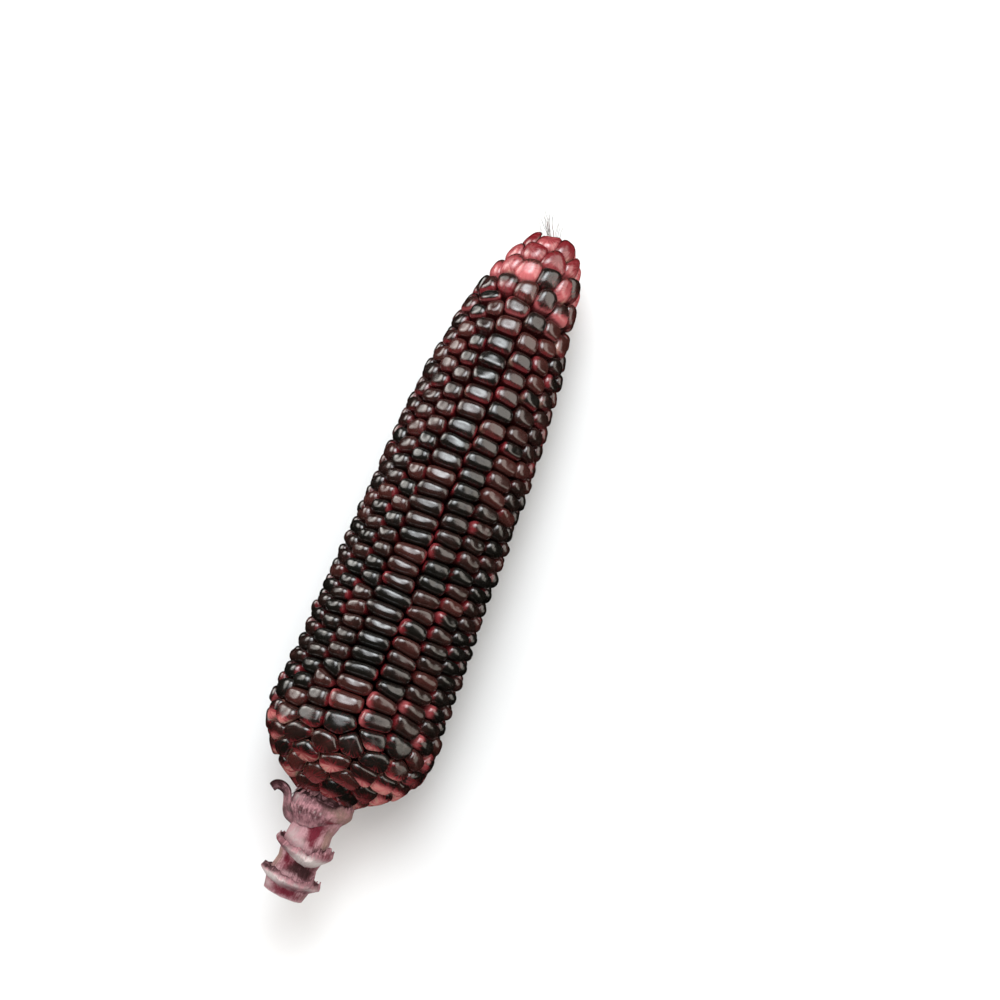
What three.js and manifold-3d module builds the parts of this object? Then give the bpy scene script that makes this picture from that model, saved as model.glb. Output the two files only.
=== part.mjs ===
// A ripe purple corn ear, bare of its husk, lying on its side.
// Millimetres, +Z up. +Y runs along the ear from its shank to its tip, and z = 0 is the surface.
//
// The ear's own frame has x across, y along its axis from the butt of the kernel zone, and z up,
// square to that axis. The crowns taper in a straight line over the middle of the ear, so the
// axis dips towards the tip by the taper's angle and the lowest row of crowns lies flat.
import * as THREE from 'three';
import { mergeVertices } from 'three/addons/utils/BufferGeometryUtils.js';
import Module from 'manifold-3d';

const wasm = await Module();
wasm.setup();

const DEGREE = Math.PI / 180;
const GAP = 0.35; // clearance kept between neighbouring pieces

// The ear's outline, over the crowns of the kernels.
const REST_RADIUS = 25.2; // crown radius at REST_STATION
const REST_STATION = 30;
const TAPER = 0.046; // radius lost for each millimetre towards the tip
const WAIST_START = 27; // between these stations the crowns draw in a little, so that
const WAIST_END = 97; // the ear rests on its lowest row at both of them
const WAIST_DEPTH = 0.1;
const BUTT_LENGTH = 26; // the rounded end next to the shank
const BUTT_DROP = 17.5;
const BUTT_POWER = 3;
const TIP_START = 84; // where the tip begins to close
const TIP_END = 178.5;
const TIP_POWER = 3.4;
const TIP_LEAN = 2.4; // how far the tip leans to the right
const TIP_LEAN_START = 140;
const FIRST_CROWN = 1.3; // first and last station that carry kernels
const LAST_CROWN = 177.4;
const CROWN_LINE_DIVISIONS = 800;

// The cob that the kernels sit on.
const COB_SHARE = 0.49; // of the crown radius
const COB_BUTT_LENGTH = 20;
const COB_BUTT_DROP = 5.1;
const COB_BUTT_POWER = 1.5;
const COB_TIP_END = 171;
const ROOT_START = 6; // stations on the cob where the first and last kernels are rooted
const ROOT_END = 167;
const COB_TIP_STEPS = 20; // rings of the cob between the butt and the tip

// Rows of kernels.
const ROW_COUNT = 16;
const ROW_ANGLE = (360 / ROW_COUNT) * DEGREE;
const KERNELS_PER_ROW = 37;
const TIP_STRETCH = 0.55; // how much longer the kernels are at the tip
const TIP_STRETCH_POWER = 2.8;
const CROWN_HALF_ANGLE = 9.3 * DEGREE;
const CROWN_START = 0.2; // share of a kernel's length where its flat crown begins
const CROWN_END = 0.8;
const GROOVE_DEPTH = 0.2; // share of a kernel's height lost in the groove between two kernels
const TWIST = 11 * DEGREE; // how far the rows turn, to the right, by the tip
const TWIST_START = 100;
const TWIST_POWER = 1.5;
const ROW_PHASES = [0, 0.45, 0.1, 0.6, 0.25, 0.8, 0.35, 0.9, 0.15, 0.7, 0.05, 0.5, 0.95, 0.3, 0.75, 0.4];
const LONG_ROW_END = LAST_CROWN;
const MIDDLE_ROW_END = 170;
const SHORT_ROW_END = 157;
const ROW_ENDS = 'LMSLMLSMLMSLMLSM'; // long, middle and short rows, round the ear from below
const ROW_FADE = 9; // length over which a row narrows to its end
const ROW_END_WEIGHT = 0.02; // what is left of a row's width at its end
const ROW_END_MARGIN = 0.5; // a row's last groove lies at least this far before its end
const LATE_ROW_START = 4.5; // every other row starts this far from the butt
const SAME_PLACE = 0.01; // stations nearer than this count as one

// The shank, measured backwards from the butt. It bends down and to the left.
const SHANK_BEND = 11 * DEGREE;
const SHANK_BEND_LENGTH = 14;
const SHANK_BEND_SIDE = 22 * DEGREE; // turn of the bend's plane from straight down to the left
const SHANK_PROFILE = [
  [3, 7.7], [7, 6.9], [9.5, 6.1], [14, 6.5], [18, 6.3], [20, 5.9], [24, 6.7], [28.5, 6.9], [30, 6.3],
]; // millimetres behind the butt and radius

// Torn husk: each stub hugs the shank at its base and flares to a ragged edge.
const STUBS = [
  { name: 'upper_husk_stub', base: 8.2, edge: 1.4, baseRadius: 7.1, edgeRadius: 8.4, ragged: 0.5, seed: 1 },
  { name: 'middle_husk_stub', base: 18.6, edge: 12.4, baseRadius: 6.75, edgeRadius: 7.5, ragged: 1.3, seed: 2 },
  { name: 'lower_husk_stub', base: 28.6, edge: 22.6, baseRadius: 7.35, edgeRadius: 8, ragged: 1.1, seed: 3 },
];
const HUSK_THICKNESS = 0.9;
const HUSK_BASE_SHARE = 0.6; // of the thickness, where a stub leaves the shank
const STUB_SIDES = 24;
const RAGGED_WAVES = [[3, 0.5, 1], [7, 0.3, 2.3], [11, 0.2, 0]]; // count, share, turn for each seed
const STRIP_ROUTE = [
  [-8.9, -8.0, 1.6], [-10.4, -4.6, 2.1], [-11.4, -2.2, 2.4],
  [-13.4, -0.5, 2.6], [-16.0, -0.5, 2.6], [-17.2, -1.9, 2.4],
];
const STRIP_WIDTH = 4.6;
const STRIP_NARROWING = 0.6; // share of the width lost by the strip's end
const STRIP_STEPS = 16;

// Silk: dry strands that leave the middle of the tip.
const SILK_RADIUS = 0.28;
const SILK_KNOT_RADIUS = 3 * SILK_RADIUS;
const SILK_BEND_SHARE = 0.15; // of a strand's way out, where it bends
const SILK_BEND_RISE = 1.5;
const SILK_ROOT = 172;
const SILK_ENDS = [
  [-2.6, 181.2, 2.6], [-0.6, 182.0, 3.4], [1.6, 181.4, 4.2], [-1.2, 180.2, 0.4], [3.2, 180.6, 1.2],
];

// Place of the ear's own frame on the surface: the middle of the whole length is at y = 0.
const TAPER_ANGLE = Math.atan(TAPER);
const BUTT_HEIGHT = (REST_RADIUS + TAPER * REST_STATION) * Math.cos(TAPER_ANGLE);
const BUTT_Y = -75.7;

const material = (color, roughness) => () => new THREE.MeshStandardMaterial({ color, roughness, metalness: 0 });
const kernelMaterial = material(0x3b0b12, 0.18);
const cobMaterial = material(0xb98a97, 0.75);
const huskMaterial = material(0x7c4658, 0.8);
const silkMaterial = material(0x4a3a2c, 0.7);

// ---- outlines ----

function straightRadius(station) {
  return REST_RADIUS - TAPER * (station - REST_STATION);
}

function closing(station, end) {
  const share = Math.max(0, (station - TIP_START) / (end - TIP_START));
  return Math.sqrt(Math.max(0, 1 - share ** TIP_POWER));
}

function crownRadius(station) {
  const butt = BUTT_DROP * Math.max(0, 1 - station / BUTT_LENGTH) ** BUTT_POWER;
  const share = THREE.MathUtils.clamp((station - WAIST_START) / (WAIST_END - WAIST_START), 0, 1);
  const waist = 4 * WAIST_DEPTH * share * (1 - share);
  return (straightRadius(station) - butt - waist) * closing(station, TIP_END);
}

function cobRadius(station) {
  const butt = COB_BUTT_DROP * Math.max(0, 1 - station / COB_BUTT_LENGTH) ** COB_BUTT_POWER;
  return (COB_SHARE * straightRadius(station) - butt) * closing(station, COB_TIP_END);
}

// The crowns' outline as a curve, so that kernels can be spaced by distance along it.
class CrownLine extends THREE.Curve {
  getPoint(t, target = new THREE.Vector2()) {
    const station = THREE.MathUtils.lerp(FIRST_CROWN, LAST_CROWN, t);
    return target.set(station, crownRadius(station));
  }
}
const crownLine = new CrownLine();
crownLine.arcLengthDivisions = CROWN_LINE_DIVISIONS;

function rootPoint(crownStation, halfWidth) {
  const share = (crownStation - FIRST_CROWN) / (LAST_CROWN - FIRST_CROWN);
  const station = THREE.MathUtils.lerp(ROOT_START, ROOT_END, share);
  return new THREE.Vector2(station, (cobRadius(station) + GAP) / Math.cos(halfWidth));
}

// ---- kernel rows ----

function rowEnd(row) {
  const kind = ROW_ENDS[row];
  if (kind === 'S') return SHORT_ROW_END;
  return kind === 'M' ? MIDDLE_ROW_END : LONG_ROW_END;
}

// A row's share of the way round: 1 along the ear, fading where a short row ends.
function rowWeight(row, station) {
  if (ROW_ENDS[row] === 'L') return 1;
  const faded = THREE.MathUtils.smoothstep(station, rowEnd(row) - ROW_FADE, rowEnd(row) + 1);
  return 1 - (1 - ROW_END_WEIGHT) * faded;
}

// The angles between which a row lies, from straight down, growing towards the ear's left.
function rowSpan(row, station) {
  const weights = Array.from({ length: ROW_COUNT }, (_, index) => rowWeight(index, station));
  const whole = weights.reduce((sum, weight) => sum + weight, 0);
  const before = weights.slice(0, row).reduce((sum, weight) => sum + weight, 0) - weights[0] / 2;
  const turned = Math.max(0, (station - TWIST_START) / (LAST_CROWN - TWIST_START));
  const twist = TWIST * turned ** TWIST_POWER;
  const perWeight = (2 * Math.PI) / whole;
  return { start: before * perWeight + twist, width: weights[row] * perWeight };
}

// Shares of the crown line's length where one kernel ends and the next begins.
function kernelBorder(index) {
  const share = index / KERNELS_PER_ROW;
  const stretched = (x) => x + (TIP_STRETCH / (TIP_STRETCH_POWER + 1)) * x ** (TIP_STRETCH_POWER + 1);
  return stretched(share) / stretched(1);
}

// Stations along a row, as shares of the crown line: a groove, then each kernel's crown and groove.
function rowStations(row) {
  const start = row % 2 ? LATE_ROW_START : FIRST_CROWN;
  const inRow = (share) => {
    const station = crownLine.getPointAt(share).x;
    return station >= start - SAME_PLACE && station <= rowEnd(row) - ROW_END_MARGIN;
  };
  const borders = [];
  for (let index = 0; index <= KERNELS_PER_ROW; index += 1) {
    const shift = index === 0 || index === KERNELS_PER_ROW ? 0 : ROW_PHASES[row] - 0.5;
    const share = kernelBorder(index + shift);
    if (inRow(share)) borders.push(share);
  }
  const stations = [{ share: borders[0], crown: false }];
  for (let index = 1; index < borders.length; index += 1) {
    const [from, to] = [borders[index - 1], borders[index]];
    stations.push({ share: THREE.MathUtils.lerp(from, to, CROWN_START), crown: true });
    stations.push({ share: THREE.MathUtils.lerp(from, to, CROWN_END), crown: true });
    stations.push({ share: to, crown: false });
  }
  return stations;
}

// A box of one section across and through, bent by place(across, through, step),
// where across and through are -1 or 1.
function bentBox(steps, place) {
  let geometry = new THREE.BoxGeometry(2, 2, steps, 1, 1, steps);
  geometry.deleteAttribute('normal');
  geometry.deleteAttribute('uv');
  geometry = mergeVertices(geometry);
  const points = geometry.attributes.position;
  for (let index = 0; index < points.count; index += 1) {
    const step = Math.round(points.getZ(index) + steps / 2);
    const point = place(points.getX(index), points.getY(index), step);
    points.setXYZ(index, point.x, point.y, point.z);
  }
  return geometry;
}

function tipLean(station) {
  return TIP_LEAN * Math.max(0, (station - TIP_LEAN_START) / (LAST_CROWN - TIP_LEAN_START)) ** 2;
}

function aroundAxis(angle, radius, station) {
  return new THREE.Vector3(tipLean(station) - radius * Math.sin(angle), station, -radius * Math.cos(angle));
}

function kernelRow(row) {
  const stations = rowStations(row);
  return bentBox(stations.length - 1, (across, through, step) => {
    const crown = crownLine.getPointAt(stations[step].share);
    const span = rowSpan(row, crown.x);
    const root = rootPoint(crown.x, span.width / 2);
    const centre = span.start + span.width / 2;
    const narrowed = span.width / ROW_ANGLE;
    if (through < 0) {
      const half = span.width / 2 - GAP / 2 / root.y;
      return aroundAxis(centre - across * half, root.y, root.x);
    }
    const half = CROWN_HALF_ANGLE * narrowed;
    const height = stations[step].crown ? 1 : 1 - GROOVE_DEPTH;
    const top = root.lerp(crown, height);
    return aroundAxis(centre - across * half, top.y / Math.cos(half), top.x);
  });
}

// ---- cob and shank ----

// Bends a point of the ear's frame that lies behind the butt along the shank's arc.
function bendShank(point) {
  const behind = -point.y;
  if (behind <= 0) return point;
  const arcRadius = SHANK_BEND_LENGTH / SHANK_BEND;
  const angle = Math.min(behind, SHANK_BEND_LENGTH) / arcRadius;
  const straight = Math.max(0, behind - SHANK_BEND_LENGTH);
  const side = new THREE.Vector3(-Math.sin(SHANK_BEND_SIDE), 0, -Math.cos(SHANK_BEND_SIDE));
  const offset = new THREE.Vector3(point.x, 0, point.z);
  const inPlane = offset.dot(side);
  const along = arcRadius * Math.sin(angle) + straight * Math.cos(angle) - inPlane * Math.sin(angle);
  const aside = arcRadius * (1 - Math.cos(angle)) + straight * Math.sin(angle) + inPlane * Math.cos(angle);
  offset.addScaledVector(side, aside - inPlane);
  return offset.setY(-along);
}

function movePoints(geometry, move) {
  const points = geometry.attributes.position;
  const point = new THREE.Vector3();
  for (let index = 0; index < points.count; index += 1) {
    const moved = move(point.fromBufferAttribute(points, index));
    points.setXYZ(index, moved.x, moved.y, moved.z);
  }
  return geometry;
}

function cobWithShank() {
  const profile = [new THREE.Vector2(0, -SHANK_PROFILE.at(-1)[0])];
  for (const [behind, radius] of SHANK_PROFILE.toReversed()) profile.push(new THREE.Vector2(radius, -behind));
  for (let step = 0; step < COB_TIP_STEPS; step += 1) {
    const station = COB_TIP_END * Math.sin((Math.PI / 2) * (step / COB_TIP_STEPS));
    profile.push(new THREE.Vector2(cobRadius(station), station));
  }
  profile.push(new THREE.Vector2(0, COB_TIP_END));
  return movePoints(new THREE.LatheGeometry(profile, ROW_COUNT * 2), (point) => {
    point.x += tipLean(point.y);
    return bendShank(point);
  });
}

// ---- torn husk ----

// A torn edge's height round the shank, between -1 and 1.
function ragged(angle, seed) {
  let height = 0;
  for (const [count, share, turn] of RAGGED_WAVES) {
    height += share * Math.sin(count * angle + turn * seed);
  }
  return height;
}

function huskStub(stub) {
  const { base, edge, baseRadius, edgeRadius } = stub;
  const profile = [
    new THREE.Vector2(baseRadius, -base),
    new THREE.Vector2(baseRadius + HUSK_THICKNESS * HUSK_BASE_SHARE, -base),
    new THREE.Vector2(edgeRadius + HUSK_THICKNESS, -(base + edge) / 2),
    new THREE.Vector2(edgeRadius + HUSK_THICKNESS, -edge),
    new THREE.Vector2(edgeRadius, -edge),
    new THREE.Vector2(baseRadius, -base),
  ];
  const ring = new THREE.LatheGeometry(profile, STUB_SIDES);
  return movePoints(ring, (point) => {
    const around = Math.atan2(point.x, point.z);
    if (point.y > -edge - SAME_PLACE) point.y += stub.ragged * ragged(around, stub.seed);
    return bendShank(point);
  });
}

function curledStrip() {
  const route = new THREE.CatmullRomCurve3(STRIP_ROUTE.map((point) => new THREE.Vector3(...point)));
  const upright = new THREE.Vector3(0, 0, 1);
  return bentBox(STRIP_STEPS, (across, through, step) => {
    const share = step / STRIP_STEPS;
    const forward = route.getTangentAt(share);
    const outward = new THREE.Vector3().crossVectors(forward, upright).normalize();
    const width = STRIP_WIDTH * (1 - STRIP_NARROWING * share * share);
    const point = route.getPointAt(share);
    point.addScaledVector(outward, (-across * HUSK_THICKNESS) / 2);
    return point.addScaledVector(upright, (through * width) / 2);
  });
}

// ---- silk ----

function toSolid(geometry) {
  geometry.deleteAttribute('normal');
  geometry.deleteAttribute('uv');
  const merged = mergeVertices(geometry, 1e-4);
  return new wasm.Manifold(new wasm.Mesh({
    numProp: 3,
    vertProperties: new Float32Array(merged.attributes.position.array),
    triVerts: new Uint32Array(merged.index.array),
  }));
}

function toGeometry(solid) {
  const mesh = solid.getMesh();
  const geometry = new THREE.BufferGeometry();
  geometry.setAttribute('position', new THREE.BufferAttribute(mesh.vertProperties, 3));
  geometry.setIndex(new THREE.BufferAttribute(mesh.triVerts, 1));
  return geometry;
}

function silkStrand([x, y, z]) {
  const root = new THREE.Vector3(TIP_LEAN, SILK_ROOT, 0);
  const bendX = TIP_LEAN + (x - TIP_LEAN) * SILK_BEND_SHARE;
  const bend = new THREE.Vector3(bendX, (SILK_ROOT + y) / 2 + SILK_BEND_RISE, z * SILK_BEND_SHARE);
  const path = new THREE.QuadraticBezierCurve3(root, bend, new THREE.Vector3(x, y, z));
  const section = new THREE.Shape();
  section.absarc(0, 0, SILK_RADIUS, 0, 2 * Math.PI);
  const settings = { curveSegments: 3, steps: 6, extrudePath: path, bevelEnabled: false };
  return new THREE.ExtrudeGeometry(section, settings);
}

function silkTuft() {
  const knot = new THREE.SphereGeometry(SILK_KNOT_RADIUS, 8, 6);
  let tuft = toSolid(knot.translate(TIP_LEAN, SILK_ROOT, 0));
  for (const end of SILK_ENDS) tuft = tuft.add(toSolid(silkStrand(end)));
  return toGeometry(tuft);
}

// ---- the ear ----

const corn = new THREE.Group();
const ear = new THREE.Group();
ear.rotation.x = -TAPER_ANGLE;
ear.position.set(0, BUTT_Y, BUTT_HEIGHT);
corn.add(ear);

function addPiece(name, geometry, material) {
  const mesh = new THREE.Mesh(geometry, material);
  mesh.name = name;
  ear.add(mesh);
}

addPiece('cob_with_shank', cobWithShank(), cobMaterial());
for (let row = 0; row < ROW_COUNT; row += 1) {
  addPiece(`kernel_row_${String(row + 1).padStart(2, '0')}`, kernelRow(row), kernelMaterial());
}
for (const stub of STUBS) addPiece(stub.name, huskStub(stub), huskMaterial());
addPiece('curled_husk_strip', curledStrip(), huskMaterial());
addPiece('silk_tuft', silkTuft(), silkMaterial());

export default corn;
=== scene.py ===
"""A ripe purple corn ear, bare of its husk, lying on its side on a pale floor."""
import math

import bpy
import numpy as np
from mathutils import Matrix, Vector


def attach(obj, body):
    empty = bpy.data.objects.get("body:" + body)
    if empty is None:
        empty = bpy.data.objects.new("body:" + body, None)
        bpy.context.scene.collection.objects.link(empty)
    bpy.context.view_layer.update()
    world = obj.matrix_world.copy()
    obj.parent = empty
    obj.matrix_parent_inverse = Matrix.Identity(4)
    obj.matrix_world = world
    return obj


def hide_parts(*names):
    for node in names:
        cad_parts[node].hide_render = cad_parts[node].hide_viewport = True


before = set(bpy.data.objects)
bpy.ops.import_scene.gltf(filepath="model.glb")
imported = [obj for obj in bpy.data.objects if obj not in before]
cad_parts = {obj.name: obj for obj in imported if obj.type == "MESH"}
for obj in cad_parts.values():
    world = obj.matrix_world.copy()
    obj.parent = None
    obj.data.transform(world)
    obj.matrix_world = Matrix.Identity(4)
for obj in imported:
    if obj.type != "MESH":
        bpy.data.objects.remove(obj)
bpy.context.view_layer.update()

MM = 0.001
DEGREE = math.pi / 180
TURN = 2 * math.pi
RANDOM = np.random.default_rng(7)

# ---- driving dimensions of the ear, in millimetres, as in the CAD model ----
REST_RADIUS = 25.2
REST_STATION = 30
TAPER = 0.046
WAIST_START = 27
WAIST_END = 97
WAIST_DEPTH = 0.1
BUTT_LENGTH = 26
BUTT_DROP = 17.5
BUTT_POWER = 3
TIP_START = 84
TIP_END = 178.5
TIP_POWER = 3.4
TIP_LEAN = 2.4
TIP_LEAN_START = 140
FIRST_CROWN = 1.3
LAST_CROWN = 177.4

COB_SHARE = 0.49
COB_BUTT_LENGTH = 20
COB_BUTT_DROP = 5.1
COB_BUTT_POWER = 1.5
COB_TIP_END = 171
ROOT_START = 6
ROOT_END = 167

ROW_COUNT = 16
ROW_ANGLE = TURN / ROW_COUNT
KERNELS_PER_ROW = 37
TIP_STRETCH = 0.55
TIP_STRETCH_POWER = 2.8
TWIST = 11 * DEGREE
TWIST_START = 100
TWIST_POWER = 1.5
ROW_PHASES = [0, 0.45, 0.1, 0.6, 0.25, 0.8, 0.35, 0.9, 0.15, 0.7, 0.05, 0.5, 0.95, 0.3, 0.75, 0.4]

SHANK_BEND = 11 * DEGREE
SHANK_BEND_LENGTH = 14
SHANK_BEND_SIDE = 22 * DEGREE
SHANK_PROFILE = [(3, 7.7), (7, 6.9), (9.5, 6.1), (14, 6.5), (18, 6.3), (20, 5.9), (24, 6.7), (26.5, 6.7),
                 (28.5, 6.2), (30, 5.85)]

TAPER_ANGLE = math.atan(TAPER)
BUTT_HEIGHT = (REST_RADIUS + TAPER * REST_STATION) * math.cos(TAPER_ANGLE)
BUTT_Y = -75.7
EAR_TO_WORLD = (
    Matrix.Translation((0, BUTT_Y * MM, BUTT_HEIGHT * MM))
    @ Matrix.Rotation(-TAPER_ANGLE, 4, "X")
    @ Matrix.Scale(MM, 4)
)


def rise(value, low, high):
    """0 up to low, 1 from high on, and smooth between them."""
    share = np.clip((value - low) / (high - low), 0, 1)
    return share * share * (3 - 2 * share)


def fall(value, low, high):
    return 1 - rise(value, low, high)


# ---- outlines ----
OUTLINE_STATIONS = (-3, TIP_END, 4000)  # from, to, how many
SLOPE_REACH = 0.6


def straight_radius(station):
    return REST_RADIUS - TAPER * (station - REST_STATION)


def closing(station, end):
    share = np.maximum(0, (station - TIP_START) / (end - TIP_START))
    return np.sqrt(np.maximum(0, 1 - share**TIP_POWER))


def crown_radius(station):
    butt = BUTT_DROP * np.maximum(0, 1 - station / BUTT_LENGTH) ** BUTT_POWER
    share = np.clip((station - WAIST_START) / (WAIST_END - WAIST_START), 0, 1)
    waist = 4 * WAIST_DEPTH * share * (1 - share)
    return (straight_radius(station) - butt - waist) * closing(station, TIP_END)


def cob_radius(station):
    butt = COB_BUTT_DROP * np.maximum(0, 1 - station / COB_BUTT_LENGTH) ** COB_BUTT_POWER
    return (COB_SHARE * straight_radius(station) - butt) * closing(station, COB_TIP_END)


def tip_lean(station):
    return TIP_LEAN * np.maximum(0, (station - TIP_LEAN_START) / (LAST_CROWN - TIP_LEAN_START)) ** 2


class CrownLine:
    """The crowns' outline, measured by distance along it; it runs over the apex and down the far side."""

    def __init__(self):
        station = np.linspace(*OUTLINE_STATIONS)
        radius = crown_radius(station)
        self.station = np.concatenate([station, station[-2::-1]])
        self.radius = np.concatenate([radius, -radius[-2::-1]])
        steps = np.hypot(np.diff(self.station), np.diff(self.radius))
        self.distance = np.concatenate([[0], np.cumsum(steps)])
        self.first, self.last = np.interp([FIRST_CROWN, LAST_CROWN], station, self.distance[:len(station)])

    def point(self, distance):
        """Station and radius."""
        return np.array([np.interp(distance, self.distance, line) for line in (self.station, self.radius)])

    def at(self, distance):
        """Station, radius and the outline's outward normal as (along, outward)."""
        run, climb = self.point(distance + SLOPE_REACH) - self.point(distance - SLOPE_REACH)
        length = np.hypot(climb, run)
        return *self.point(distance), -climb / length, run / length


CROWN_LINE = CrownLine()


def stack(*parts):
    """Joins numbers or arrays into vectors along a new last axis."""
    return np.stack(np.broadcast_arrays(*parts), axis=-1)


def unit(vectors):
    return vectors / np.linalg.norm(vectors, axis=-1, keepdims=True)


def circle(steps):
    return np.linspace(0, TURN, steps, endpoint=False)


def to_right(angle):
    """Degrees from straight up to the right, for an angle from straight down."""
    return (angle / DEGREE) % 360 - 180


def around_axis(angle, radius, station):
    """Angles run from straight down, growing towards the ear's left."""
    return stack(tip_lean(station) - radius * np.sin(angle), station, -radius * np.cos(angle))


def bend_shank(points):
    """Bends the points that lie behind the butt along the shank's arc."""
    behind = np.maximum(0, -points[..., 1])
    arc_radius = SHANK_BEND_LENGTH / SHANK_BEND
    angle = np.minimum(behind, SHANK_BEND_LENGTH) / arc_radius
    straight = np.maximum(0, behind - SHANK_BEND_LENGTH)
    side = np.array([-math.sin(SHANK_BEND_SIDE), 0, -math.cos(SHANK_BEND_SIDE)])
    in_plane = points @ side
    along = arc_radius * np.sin(angle) + straight * np.cos(angle) - in_plane * np.sin(angle)
    aside = arc_radius * (1 - np.cos(angle)) + straight * np.sin(angle) + in_plane * np.cos(angle)
    bent = points + side * (aside - in_plane)[..., None]
    bent[..., 1] = np.where(behind > 0, -along, points[..., 1])
    return bent


# ---- meshes ----


def add_object(name, data):
    thing = bpy.data.objects.new(name, data)
    bpy.context.scene.collection.objects.link(thing)
    return thing


def add_mesh(name, points, faces, attributes, material):
    """A piece from points of the ear's frame; attributes are arrays with one row for each point."""
    mesh = bpy.data.meshes.new(name)
    mesh.from_pydata(points.reshape(-1, 3).tolist(), [], faces)
    mesh.transform(EAR_TO_WORLD)
    for key, values in attributes.items():
        kind, field = ("FLOAT", "value") if values.ndim == 1 else ("FLOAT_VECTOR", "vector")
        mesh.attributes.new(key, kind, "POINT").data.foreach_set(field, values.ravel())
    mesh.polygons.foreach_set("use_smooth", [True] * len(mesh.polygons))
    mesh.materials.append(material)
    mesh.update()
    return add_object(name, mesh)


def band_faces(low, high, around):
    """Faces between two rings of points, from the numbers of their first points."""
    pairs = [(step, (step + 1) % around) for step in range(around)]
    return [(low + step, low + after, high + after, high + step) for step, after in pairs]


def tube_faces(rings, around, copies=1):
    """Faces of closed tubes whose points follow one another, each as close_tube gives them."""
    faces = []
    for copy in range(copies):
        first = copy * (rings * around + 2)
        start = first + rings * around
        last = start - around
        for low in range(first, last, around):
            faces += band_faces(low, low + around, around)
        for step in range(around):
            after = (step + 1) % around
            faces += [(start, first + after, first + step), (start + 1, last + step, last + after)]
    return faces


def ring_faces(rings, around):
    """Faces of a tube bent round into a ring: the last of its lines meets the first."""
    faces = []
    for ring in range(rings):
        faces += band_faces(ring * around, (ring + 1) % rings * around, around)
    return faces


def close_tube(rings):
    """The rings of a tube, or of several, in one row, followed by the middles of its two end rings."""
    ends = np.stack([rings[..., 0, :, :].mean(axis=-2), rings[..., -1, :, :].mean(axis=-2)], axis=-2)
    return np.concatenate([rings.reshape(*rings.shape[:-3], -1, rings.shape[-1]), ends], axis=-2)


# ---- materials ----


class Paint:
    """Nodes of one procedural material."""

    def __init__(self, name, values):
        self.material = bpy.data.materials.new(name)
        self.material.use_nodes = True
        self.tree = self.material.node_tree
        self.sockets = self.tree.nodes["Principled BSDF"].inputs
        self.feed(self.sockets, values)

    def set(self, key, value):
        self.feed(self.sockets, {key: value})

    def feed(self, sockets, values):
        for key, value in values.items():
            if isinstance(value, bpy.types.NodeSocket):
                self.tree.links.new(value, sockets[key])
            else:
                sockets[key].default_value = value

    def node(self, kind, inputs, output=0, **settings):
        node = self.tree.nodes.new(kind)
        for key, value in settings.items():
            setattr(node, key, value)
        self.feed(node.inputs, inputs)
        return node.outputs[output]

    def attribute(self, name, output="Fac"):
        return self.node("ShaderNodeAttribute", {}, output, attribute_name=name)

    def parts(self, name):
        vector = self.attribute(name, "Vector")
        return [self.node("ShaderNodeSeparateXYZ", {0: vector}, part) for part in range(3)]

    def place(self):
        return self.node("ShaderNodeTexCoord", {}, "Object")

    def noise(self, vector, scale, detail=2, roughness=0.5):
        inputs = {"Vector": vector, "Scale": scale, "Detail": detail, "Roughness": roughness}
        return self.node("ShaderNodeTexNoise", inputs, "Fac")

    def math(self, operation, *values):
        return self.node("ShaderNodeMath", dict(enumerate(values)), operation=operation)

    def add(self, value, other, share=1):
        """The value plus a share of the other."""
        return self.math("MULTIPLY_ADD", other, share, value)

    def ramp(self, value, low, high, start=0, end=1):
        inputs = {"Value": value, "From Min": low, "From Max": high, "To Min": start, "To Max": end}
        return self.node("ShaderNodeMapRange", inputs, interpolation_type="SMOOTHSTEP")

    def mix(self, share, first, second):
        node = self.tree.nodes.new("ShaderNodeMix")
        node.data_type = "RGBA"
        sockets = {socket.name: socket for socket in node.inputs if socket.enabled}
        self.feed(sockets, {"Factor": share, "A": first, "B": second})
        return next(socket for socket in node.outputs if socket.enabled)

    def bump(self, height, distance):
        self.set("Normal", self.node("ShaderNodeBump", {"Height": height, "Distance": distance}, "Normal"))


INK = (0.006, 0.0052, 0.004, 1)
BROWN = (0.055, 0.014, 0.011, 1)
CRIMSON = (0.14, 0.008, 0.012, 1)
PINK = (0.5, 0.12, 0.125, 1)
CREAM = (0.7, 0.5, 0.36, 1)
PAINTED_SHADE_DARK = (0.014, 0.001, 0.001, 1)


def kernel_paint():
    """Dark crowns over crimson flanks that pale to pink and cream, drawn out in fine streaks, with painted
    shade on the walls and in the clefts between kernels.
    """
    paint = Paint("kernel", {"Roughness": 0.2, "IOR": 1.5, "Specular IOR Level": 1})
    pigment, pale, cream = paint.parts("stain_and_painted_light")
    painted_shade, brown, fan = paint.parts("look")
    streaks = paint.noise(paint.attribute("grain", "Vector"), scale=2.4, detail=3, roughness=0.6)
    streaks = paint.math("MULTIPLY", paint.ramp(streaks, 0.3, 0.7, start=-0.5, end=0.5), fan)
    cloud = paint.math("SUBTRACT", paint.noise(paint.place(), scale=420, detail=3), 0.5)
    crown = paint.mix(paint.ramp(paint.add(brown, cloud, share=0.7), 0, 1), INK, BROWN)
    flank = paint.mix(paint.ramp(paint.add(pale, streaks, share=0.5), 0, 1), CRIMSON, PINK)
    flank = paint.mix(paint.ramp(paint.add(cream, streaks, share=0.4), 0.1, 1), flank, CREAM)
    colour = paint.mix(paint.ramp(paint.add(pigment, streaks, share=0.75), 0.1, 0.9), flank, crown)
    # painted shade: the walls and the clefts between kernels are darkened towards a near-black red
    paint.set("Base Color", paint.mix(painted_shade, colour, PAINTED_SHADE_DARK))
    paint.set("Roughness", paint.ramp(cloud, -0.3, 0.3, start=0.17, end=0.29))
    waves = paint.noise(paint.place(), scale=330, detail=1)
    paint.bump(paint.add(waves, streaks, share=0.1), distance=0.1 * MM)
    return paint.material


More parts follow.
